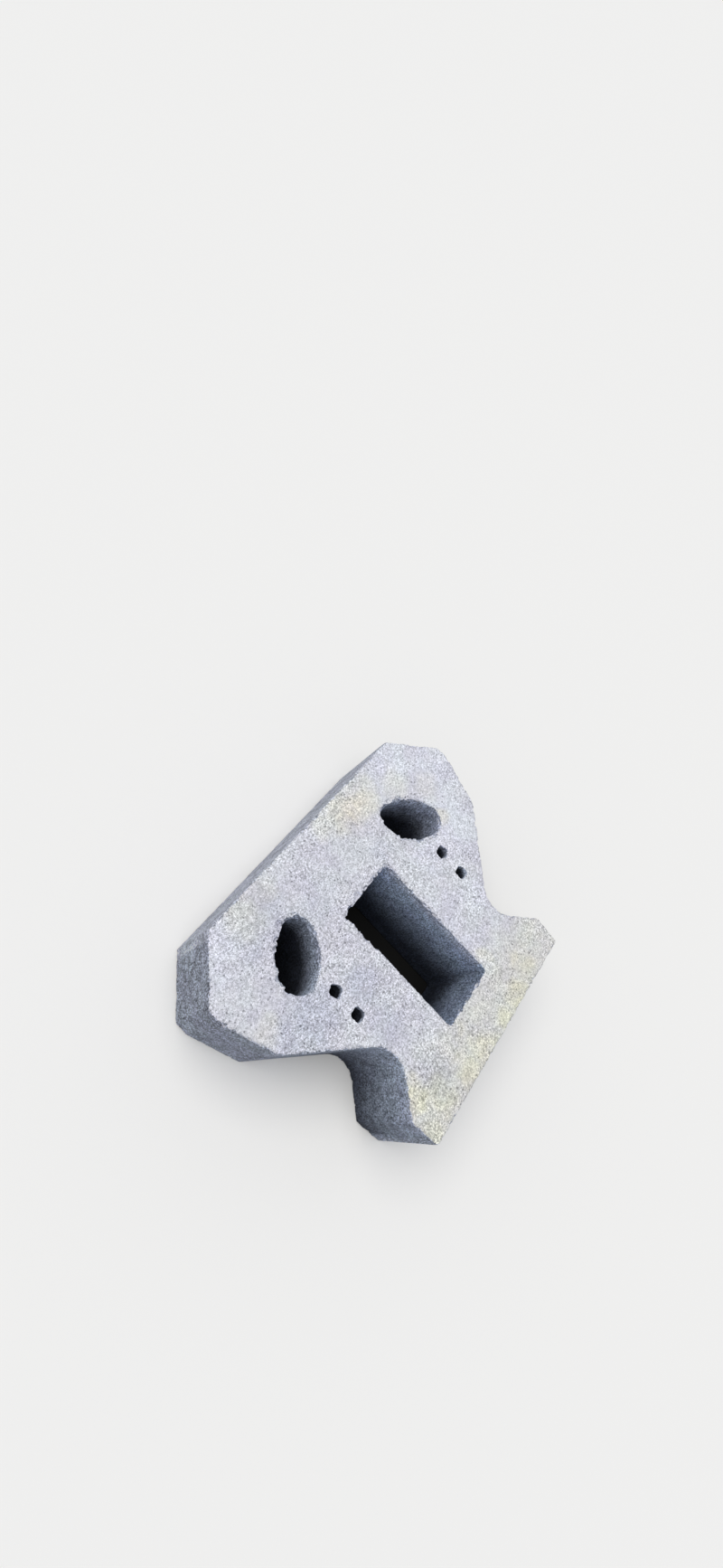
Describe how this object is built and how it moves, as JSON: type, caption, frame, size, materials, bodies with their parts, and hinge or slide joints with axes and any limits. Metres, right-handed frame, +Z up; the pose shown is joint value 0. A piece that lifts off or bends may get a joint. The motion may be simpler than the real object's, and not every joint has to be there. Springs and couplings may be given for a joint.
{
  "type": "retaining wall block",
  "caption": "Pinned concrete retaining wall block with a smooth face, tapered waisted sides, a flared tail, a central core, oval pin cores and pin holes.",
  "frame": {"origin": "centre of the bed face's bounding box, on the floor that the block stands on", "axes": "+X along the block's width, -Y out of the smooth face that shows in the wall, +Y towards the tail, +Z up"},
  "size_m": [0.45, 0.34, 0.15],
  "materials": {
    "concrete": "matte, granular, dry-cast"
  },
  "bodies": {
    "root": {"wall_block": "concrete"}
  },
  "joints": []
}
